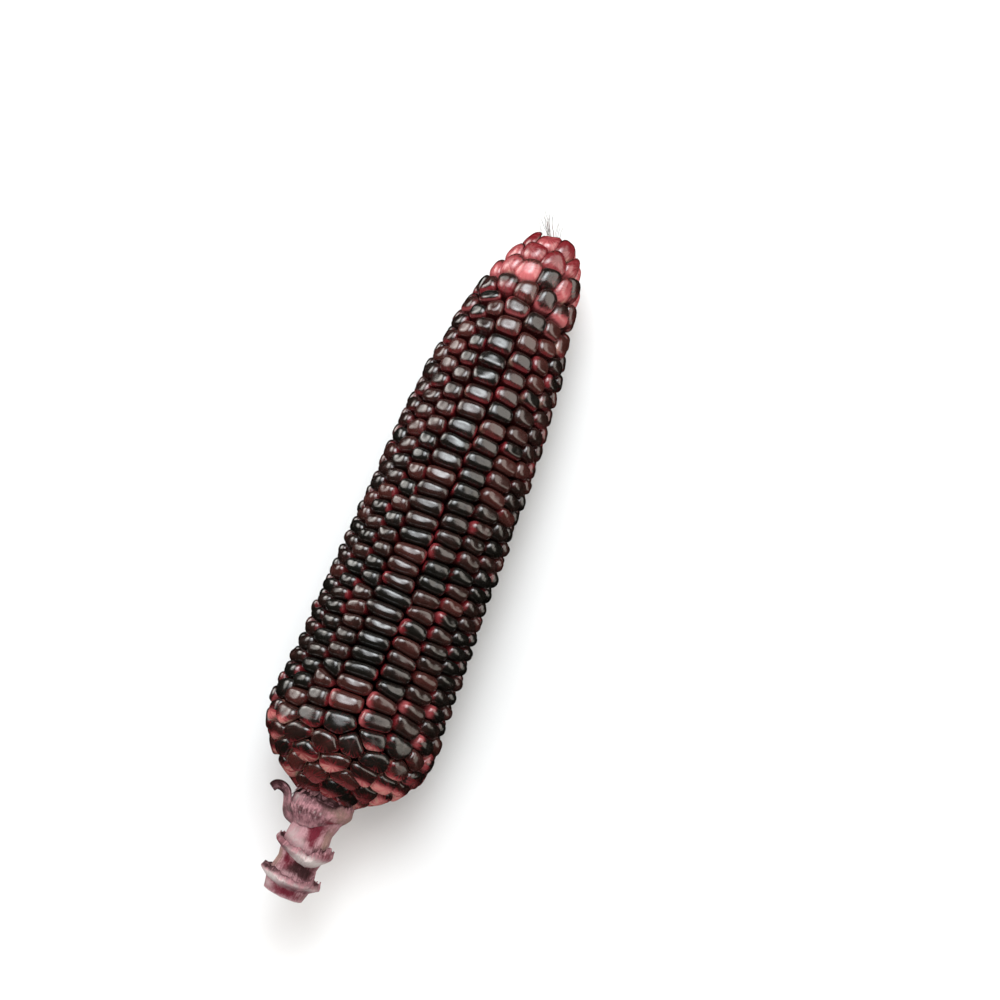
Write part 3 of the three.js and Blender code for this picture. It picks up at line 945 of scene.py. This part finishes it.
# the attached and the torn edge of each sheath: degrees from straight up to the right, mm behind the butt
STUBS = [
    {
        "name": "upper", "edge_radius": 8.4, "tear": 0.5, "teeth": 34, "seed": 21,
        "base": [(-170, 8.2), (-90, 9.4), (-30, 9.6), (5, 9.1), (20, 7.8), (50, 5.9), (85, 4.8), (140, 7.5)],
        "edge": [(-120, 1.2), (0, 1.6), (30, 1.5), (55, 0.8), (85, 0), (120, 0.6)],
        "patches": {
            "tan": [(55, 34, 3.6, 3, 0.85), (100, 25, 4, 4, 0.7), (-150, 50, 5, 4, 0.6)],
            "wine": [(45, 28, 6, 0.8, 1), (-35, 40, 7.6, 0.7, 0.3)],
            # painted shade: the first dark patch, near the torn edge, is the shadow under the first kernels
            "dark": [(8, 34, 2.2, 1.2, 0.9), (-25, 34, 5.6, 1, 0.35)],
            "white": [(-50, 22, 2.6, 1.4, 0.4), (-20, 50, 8.9, 0.6, 0.4)],
        },
    },
    {
        "name": "middle", "edge_radius": 7.9, "tear": 0.45, "teeth": 40, "seed": 22,
        "base": [(-90, 17), (-60, 17.3), (-23, 17.9), (10, 19.1), (30, 19.5), (52, 19.4), (75, 18.2),
                 (95, 17.4), (130, 17.8)],
        "edge": [(-90, 14), (-82, 13.2), (-58, 13.8), (-36, 14.2), (-16, 15.2), (2, 14.8), (22, 16),
                 (30, 14.8), (42, 12.9), (52, 13.3), (68, 12.1), (88, 12.8), (130, 13.6), (170, 13),
                 (220, 14.2)],
        "patches": {
            "white": [(22, 48, 17.8, 1.8, 1.4), (85, 30, 17.5, 1.5, 0.7), (-70, 20, 14.2, 0.8, 0.5),
                      (170, 70, 16.5, 1.2, 0.8)],
            "wine": [(-55, 30, 15.6, 1.6, 0.6), (62, 22, 14.6, 1.3, 0.7)],
            "dark": [(50, 12, 13.8, 1.2, 0.7)],
        },
    },
    {
        "name": "lower", "edge_radius": 8.4, "tear": 0.5, "teeth": 40, "seed": 23,
        "base": [(-90, 26.6), (0, 27.2), (90, 26.6), (180, 26.8)],
        "edge": [(-95, 23.8), (-80, 23.2), (-44, 22.6), (-20, 22.9), (-9, 23.7), (12, 23.7), (35, 23.2),
                 (46, 22.6), (55, 21.2), (62, 23.2), (74, 23.4), (90, 22.3), (104, 23.8), (180, 23)],
        "patches": {
            "white": [(-35, 46, 25.6, 1.3, 1.4), (60, 40, 24.9, 0.9, 0.5), (175, 60, 25.4, 1, 0.8)],
            "dark": [(-55, 38, 23.6, 1, 1.4)],
            "wine": [(30, 50, 26.4, 0.6, 0.6)],
            "tan": [(110, 30, 25, 2, 0.5)],
        },
    },
]
SCAR_COUNT = 34
SCAR_ROWS = [(5, 0), (6.3, 0.5)]  # millimetres behind the butt, and turn as a share of a scar
SCAR_HALF_LENGTH = 0.36
SCAR_HEIGHT = 0.22
SCAR_END = (10, 40)  # degrees from straight up to the right
SCAR_SHADE = [(-15, 42, 5.7, 1.3, 0.55)]  # the dark patch between the scars


def line_round(angle, knots):
    places, heights = np.array(knots, dtype=float).T
    return np.interp(to_right(angle), places, heights, period=360)


def torn_edge(angle, teeth, seed):
    """A jagged line round the shank, between -1 and 1, with straight tears between its teeth."""
    dice = np.random.default_rng(seed)
    knots = np.sort(dice.uniform(0, TURN, teeth))
    heights = dice.uniform(-1, 1, teeth)
    return np.interp(angle, knots, heights, period=TURN)


def scars(angle, behind):
    """Rows of small round bumps, where roots would start, between 0 and 1."""
    total = np.zeros_like(angle)
    for place, shift in SCAR_ROWS:
        uneven = 1.4 * ripple(angle, (3, 5, 8, 13), 51)
        across = np.maximum(0, np.cos(SCAR_COUNT * angle + shift * TURN + uneven)) ** 1.5
        row = place + 0.25 * ripple(angle, (4, 9, 15), 52)
        total += across * np.exp(-(((behind - row) / SCAR_HALF_LENGTH) ** 2))
    return total * fall(to_right(angle), *SCAR_END)


def sheath_radii(stub, angle, share, base, behind):
    """The radii of a sheath's inner and outer surface."""
    root = shank_surface(angle, base) - ROOT_DEPTH
    hug = root + (stub["edge_radius"] - root) * rise(share, 0, 0.6)
    ribs = 0.1 * ripple(angle, (29, 37, 46, 53), stub["seed"] + 10, behind, 0.05)
    flare = 0.55 * ripple(angle, (2, 3, 5, 7), stub["seed"] + 20, behind, 0.1) * share**2
    thickness = HUSK_THICKNESS + (TORN_THICKNESS - HUSK_THICKNESS) * rise(share, 0.4, 1)
    thickness = thickness * (0.45 + 0.55 * rise(share, 0, 0.25))
    inner = hug + np.maximum(flare, -0.2)
    return inner, inner + thickness + ribs * rise(share, 0, 0.2)


def make_stub(stub):
    angle, share = np.meshgrid(circle(STUB_AROUND), np.linspace(0, 1, STUB_STEPS))
    base = line_round(angle, stub["base"]) + 0.15 * ripple(angle, (5, 9, 14), stub["seed"] + 30)
    edge = line_round(angle, stub["edge"]) + stub["tear"] * torn_edge(angle, stub["teeth"], stub["seed"])
    behind = base + (edge - base) * share
    inner, outer = sheath_radii(stub, angle, share, base, behind)
    tone = tones(angle, behind, stub["patches"])
    if stub["name"] == "upper":
        marks = scars(angle, behind)
        outer = outer + SCAR_HEIGHT * marks
        tone[..., 0] += 0.6 * marks
        tone[..., 1] += patches(angle, behind, SCAR_SHADE) * (1 - marks)
    tone[..., 1] += 0.55 * rise(share, 0.88, 1) + 0.25 * fall(share, 0, 0.05)
    wine = patches(angle, behind, stub["patches"].get("wine", ()))
    angle, behind, tone, wine = (np.concatenate([part, part[::-1]]) for part in (angle, behind, tone, wine))
    radius = np.concatenate([outer, inner[::-1]])
    points = bend_shank(around_axis(angle, radius, -behind))
    attributes = {
        "tone": tone.reshape(-1, 3),
        "wine": wine.ravel(),
        "fibre": fibre_place(angle, behind).reshape(-1, 3),
    }
    faces = ring_faces(len(radius), STUB_AROUND)
    piece = add_mesh(f"torn_husk_{stub['name']}", points, faces, attributes, HUSK_MATERIAL)
    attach(piece, "root")
    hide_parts(f"{stub['name']}_husk_stub")


# A strip of husk, peeled off the upper stub and curled outwards as it dried.
STRIP_ROUTE = [(-5.9, -10.2, 1), (-7.8, -8.9, 1.6), (-9, -7.1, 2.1), (-9.8, -4.8, 2.4),
               (-11, -2.9, 2.5), (-12.6, -2.1, 2.5), (-14, -2.1, 2.2), (-14.8, -3, 1.8)]
STRIP_WIDTH = 5.2
STRIP_STEPS = 60
STRIP_AROUND = 28
STRIP_THICKNESS = 0.6
STRIP_CURL = 0.9
STRIP_WAVE = 0.3
STRIP_LEAN = 0.62
GUTTER_ANGLE = 1.1
UPWARDS = np.array([0, 0, 1])


def spline(route, steps):
    """Points and directions along a smooth curve through the route's points."""
    knots = np.array([route[0], *route, route[-1]], dtype=float)
    places = np.linspace(0, len(route) - 1 - 1e-6, steps)
    points = []
    for place in places:
        first = int(place)
        share = place - first
        a, b, c, d = knots[first:first + 4]
        points.append(0.5 * (2 * b + (c - a) * share + (2 * a - 5 * b + 4 * c - d) * share**2
                             + (3 * b - a - 3 * c + d) * share**3))
    points = np.array(points)
    return points, unit(np.gradient(points, axis=0))


def strip_shape(share, turn):
    """Points of the strip, a shallow gutter, open outwards, whose top edge leans in over the ear."""
    centre, forward = spline(STRIP_ROUTE, STRIP_STEPS)
    outward = unit(np.cross(forward, UPWARDS))
    upright = unit(UPWARDS + outward * STRIP_LEAN)
    root = 0.35 + 0.65 * rise(share, 0, 0.2)
    half_width = STRIP_WIDTH * (1 - 0.45 * share**2) * root / 2
    across = np.cos(turn)
    curl = STRIP_CURL * (0.4 + 0.6 * share) * across**2
    waves = STRIP_WAVE * np.sin(9 * share + 2 * across) * across
    through = STRIP_THICKNESS / 2 * np.sin(turn) * (1 - 0.3 * share) - curl - waves
    lift = half_width * np.sin(across * (GUTTER_ANGLE + 0.35 * share)) / math.sin(GUTTER_ANGLE)
    return centre[:, None] - outward[:, None] * through[..., None] + upright[:, None] * lift[..., None]


def make_strip():
    share = np.linspace(0, 1, STRIP_STEPS)[:, None]
    turn = -circle(STRIP_AROUND)[None]
    points = strip_shape(share, turn)
    across = np.cos(turn)
    dark = 0.9 * rise(share, 0.4, 0.8) + 0.45 * rise(np.abs(across), 0.8, 1)
    dark = (0.4 + dark + 0.2 * np.sin(3 * across + 5 * share)) * rise(share, 0.02, 0.3)
    attributes = {
        "tone": close_tube(stack(0.12 - 0.1 * share, dark, 0.1)),
        "fibre": close_tube(stack(2.5 * across, 2.5 * np.sin(turn), 2 * share)),
    }
    faces = tube_faces(STRIP_STEPS, STRIP_AROUND)
    piece = add_mesh("curled_strip", close_tube(points), faces, attributes, HUSK_MATERIAL)
    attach(piece, "root")
    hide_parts("curled_husk_strip")


# ---- chaff: the papery scales round the foot of the first kernels ----
CHAFF_COUNT = 44
CHAFF_STEPS = 7
CHAFF_AROUND = 10
CHAFF_SPREAD = 0.3
CHAFF_RANGES = [(-1.2, 1.6), (0.8, 2.2), (0.6, 1.4)]  # stations, lengths and widths
CHAFF_THICKNESS = 0.12
CHAFF_DEPTH = 0.4
CHAFF_RADIUS = 9
SHADOW_MIDDLE = 15
SHADOW_HALF_WIDTH = 40


def make_chaff():
    """Each scale is a small curved blade that stands out from the cob."""
    dice = np.random.default_rng(31)
    share = np.linspace(0, 1, CHAFF_STEPS)[:, None]
    turn = circle(CHAFF_AROUND)[None]
    points, tone, fibre = [], [], []
    for index in range(CHAFF_COUNT):
        angle = TURN * (index + dice.uniform(-CHAFF_SPREAD, CHAFF_SPREAD)) / CHAFF_COUNT
        station, length, width = (dice.uniform(*limits) for limits in CHAFF_RANGES)
        across = width * np.sin(math.pi * (0.18 + 0.78 * share)) * np.cos(turn)
        outward = 0.9 * length * share + CHAFF_THICKNESS * np.sin(turn) * (1.2 - share)
        place = station - 0.9 * length * share**2 + 0.25 * across**2
        radius = cob_radius(max(station, 0)) - CHAFF_DEPTH + outward
        points.append(close_tube(around_axis(angle + across / CHAFF_RADIUS, radius, place)))
        shadow = 0.15 + 0.7 * math.exp(-((to_right(angle) - SHADOW_MIDDLE) / SHADOW_HALF_WIDTH) ** 2)
        tone.append(close_tube(stack(np.zeros_like(turn), shadow - 0.2 * share, 0.3)))
        fibre.append(close_tube(stack(3 * across, 2 * share, index)))
    attributes = {"tone": np.concatenate(tone), "fibre": np.concatenate(fibre)}
    faces = tube_faces(CHAFF_STEPS, CHAFF_AROUND, CHAFF_COUNT)
    piece = add_mesh("butt_chaff", np.concatenate(points), faces, attributes, HUSK_MATERIAL)
    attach(piece, "root")


# ---- silk ----
SILK_ROOT = (TIP_LEAN, 172, 0)
SILK_ROOT_SPREAD = 0.3
SILK_ENDS = [(-2.6, 181.2, 2.6), (-0.6, 182, 3.4), (1.6, 181.4, 4.2), (-1.2, 180.2, 0.4), (3.2, 180.6, 1.2)]
STRANDS_PER_END = 4
STRAND_SPREAD = 1.3
STRAND_BEND = 0.7
STRAND_KINKS = [(0.22, 11, 1), (0.1, 27, 2)]  # millimetres, waves along a strand in radians, start
SILK_LEAN = (-2.6, 0.5, 0)
STRAND_STEPS = 22
STRAND_AROUND = 6
STRAND_RADIUS = 0.09
STRAND_THINNING = 0.6
SILK_DARK = (0.03, 0.015, 0.01, 1)
SILK_BROWN = (0.16, 0.08, 0.05, 1)


def make_silk():
    """Dry strands that leave the middle of the tip and wander apart."""
    dice = np.random.default_rng(41)
    share = np.linspace(0, 1, STRAND_STEPS)[:, None]
    turn = -circle(STRAND_AROUND)
    section = STRAND_RADIUS * stack(np.cos(turn), 0, np.sin(turn))
    points = []
    for end in np.repeat(SILK_ENDS, STRANDS_PER_END, axis=0):
        goal = end + SILK_LEAN + dice.normal(0, STRAND_SPREAD, 3) * (1, 0.5, 0.6)
        root = SILK_ROOT + dice.normal(0, SILK_ROOT_SPREAD, 3)
        bend = (root + goal) / 2 + dice.normal(0, STRAND_BEND, 3)
        centre = (1 - share) ** 2 * root + 2 * share * (1 - share) * bend + share**2 * goal
        kink = dice.uniform(0, TURN, 3)
        for size, waves, start in STRAND_KINKS:
            centre = centre + size * share * np.sin(waves * share + start * kink)
        points.append(close_tube(centre[:, None] + (1 - STRAND_THINNING * share)[..., None] * section))
    faces = tube_faces(STRAND_STEPS, STRAND_AROUND, len(points))
    piece = add_mesh("silk_strands", np.concatenate(points), faces, {}, silk_paint())
    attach(piece, "root")
    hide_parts("silk_tuft")


def silk_paint():
    paint = Paint("silk", {"Roughness": 0.55, "IOR": 1.45})
    blotches = paint.ramp(paint.noise(paint.place(), scale=300), 0.35, 0.65)
    paint.set("Base Color", paint.mix(blotches, SILK_DARK, SILK_BROWN))
    return paint.material


HUSK_MATERIAL = husk_paint("husk", HUSK_ROSE, HUSK_SHADE)
make_cob()
for stub in STUBS:
    make_stub(stub)
make_strip()
make_chaff()
make_silk()

# ---- camera ----
PICTURE_SIZE = 1000
PIXELS_PER_MM = 3.46
SENSOR = 36
CAMERA_DISTANCE = 1000
AIM_STATION = 85.9
AIM_PIXEL = (436.7, 521.3)
CAMERA_ROLL = 21.8 * DEGREE
CAMERA_TURN = 7.8 * DEGREE
CAMERA_TIP = -9 * DEGREE


def add_camera():
    aside = (PICTURE_SIZE / 2 - AIM_PIXEL[0]) / PIXELS_PER_MM
    above = (AIM_PIXEL[1] - PICTURE_SIZE / 2) / PIXELS_PER_MM
    camera = add_object("camera", bpy.data.cameras.new("camera"))
    camera.data.sensor_width = SENSOR
    camera.data.lens = PIXELS_PER_MM * CAMERA_DISTANCE * SENSOR / PICTURE_SIZE
    camera.matrix_world = (
        EAR_TO_WORLD
        @ Matrix.Translation((0, AIM_STATION, 0))
        @ Matrix.Rotation(CAMERA_TURN, 4, "Y")
        @ Matrix.Rotation(-CAMERA_TIP, 4, "X")
        @ Matrix.Rotation(CAMERA_ROLL, 4, "Z")
        @ Matrix.Translation((aside, above, CAMERA_DISTANCE))
        @ Matrix.Scale(1 / MM, 4)
    )
    bpy.context.scene.camera = camera


add_camera()

# ---- light and floor ----
WORLD_LIGHT = 0.2
LIGHT_AIM = Vector((0, 0, 0.025))
LIGHT_DISTANCE = 0.9
# name, angles from straight up to the right and to the tip, size across and along in metres, radiance, colour
SOFTBOXES = [
    ("key", -4, 30, (0.44, 0.38), 5.4, (0.88, 0.96, 1)),
    ("key_halo", -6, 26, (0.96, 0.84), 3.6, (0.96, 0.98, 1)),
    ("left", -75, 20, (0.42, 0.46), 3.6, (1, 0.98, 0.94)),
    ("left_halo", -72, 16, (0.9, 0.9), 2.5, (1, 0.97, 0.92)),
    ("right", 56, 28, (1, 0.8), 2.1, (1, 0.94, 0.87)),
    ("right_low", 86, 0, (0.4, 1), 1.3, (1, 0.95, 0.84)),
    ("fill", 0, -35, (1.4, 1.4), 1.1, (1, 1, 1)),
]
FLOOR_REACH = 3
FLOOR_GREY = (0.74, 0.74, 0.74, 1)


def add_softbox(name, rightward, tipward, size, radiance, colour):
    data = bpy.data.lights.new(name, "AREA")
    data.shape = "ELLIPSE"
    data.size, data.size_y = size
    data.color = colour
    data.energy = radiance * math.pi * size[0] * size[1] * math.pi / 4
    light = add_object(name, data)
    level = math.cos(tipward * DEGREE)
    across, up = math.sin(rightward * DEGREE) * level, math.cos(rightward * DEGREE) * level
    direction = Vector((across, math.sin(tipward * DEGREE), up))
    light.location = LIGHT_AIM + direction * LIGHT_DISTANCE
    light.visible_glossy = name != "fill"
    light.rotation_euler = direction.to_track_quat("Z", "Y").to_euler()


def add_world():
    world = bpy.data.worlds.new("world")
    bpy.context.scene.world = world
    world.use_nodes = True
    background = world.node_tree.nodes["Background"]
    background.inputs["Color"].default_value = (1, 1, 1, 1)
    background.inputs["Strength"].default_value = WORLD_LIGHT
    world.cycles_visibility.glossy = False


def add_floor():
    corners = [(x * FLOOR_REACH, y * FLOOR_REACH, 0) for x, y in ((-1, -1), (1, -1), (1, 1), (-1, 1))]
    mesh = bpy.data.meshes.new("floor")
    mesh.from_pydata(corners, [], [(0, 1, 2, 3)])
    mesh.materials.append(Paint("floor", {"Base Color": FLOOR_GREY, "Roughness": 0.9}).material)
    floor = add_object("floor", mesh)
    floor.visible_glossy = False


add_world()
for softbox in SOFTBOXES:
    add_softbox(*softbox)
add_floor()
bpy.context.scene.view_settings.view_transform = "Standard"
